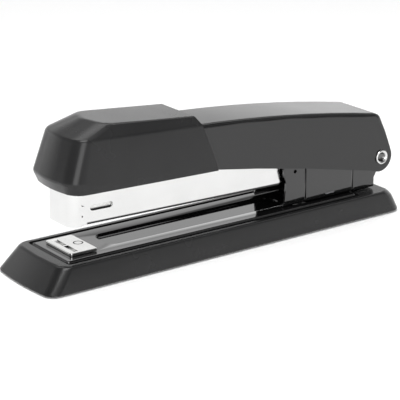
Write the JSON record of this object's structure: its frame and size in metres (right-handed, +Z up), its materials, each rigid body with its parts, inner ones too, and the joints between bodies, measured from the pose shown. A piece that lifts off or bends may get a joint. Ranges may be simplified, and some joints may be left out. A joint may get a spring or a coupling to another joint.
{
  "type": "desk stapler",
  "caption": "Full-size desk stapler with a bright steel magazine, an arched pressed-steel arm, a moulded front cap and a long moulded base with an anvil.",
  "frame": {"origin": "on the table, under the middle of the bounding box", "axes": "+Z up, +Y along the length towards the hinge, the stapling nose points along -Y, +X to the left of a person who looks at the nose"},
  "size_m": [0.0396, 0.1701, 0.0584],
  "materials": {
    "base_plastic": "fine satin",
    "foot_rubber": "matte",
    "painted_sheet": "gloss black paint",
    "painted_arm": "satin black paint",
    "cap_plastic": "satin gloss",
    "inner_plastic": "matte",
    "bright_steel": "bright plated",
    "plain_steel": "plain zinc plated",
    "spring_steel": "plain"
  },
  "bodies": {
    "base": {"base_shell": "base_plastic", "foot_front_left": "foot_rubber", "foot_front_right": "foot_rubber", "foot_rear_left": "foot_rubber", "foot_rear_right": "foot_rubber", "base_plate": "painted_sheet", "anvil": "bright_steel", "anvil_rivet": "bright_steel", "bracket_rivet_front": "plain_steel", "bracket_rivet_rear": "plain_steel", "pivot_bracket": "painted_sheet", "lifter_spring": "spring_steel", "pivot_pin": "bright_steel"},
    "magazine": {"magazine_channel": "bright_steel", "nose_plate": "bright_steel", "staple_rail": "plain_steel", "rail_rivet_front": "plain_steel", "rail_rivet_rear": "plain_steel", "staple_strip": "plain_steel", "guide_rod": "plain_steel", "spring_anchor": "inner_plastic"},
    "follower": {"follower": "inner_plastic", "follower_spring": "spring_steel"},
    "arm": {"arm_shell": "painted_arm", "front_cap": "cap_plastic", "driver_blade": "plain_steel", "driver_rivet": "plain_steel", "arm_spring": "spring_steel", "arm_spring_rivet": "plain_steel"}
  },
  "joints": [
    {"name": "magazine_hinge", "type": "hinge", "parent": "base", "child": "magazine", "pos_m": [0, 0.07725, 0.023], "axis": [-1, 0, 0], "range_deg": [-3.6, 60], "deforming": ["lifter_spring"]},
    {"name": "arm_hinge", "type": "hinge", "parent": "magazine", "child": "arm", "pos_m": [0, 0.07725, 0.023], "axis": [-1, 0, 0], "range_deg": [-4, 90], "deforming": ["arm_spring"]},
    {"name": "follower_slide", "type": "slide", "parent": "magazine", "child": "follower", "axis": [0, 0.9999, -0.0159], "range_m": [0, 0.022], "stiffness_N_per_m": 40, "springref_m": -0.03, "deforming": ["follower_spring"]}
  ]
}
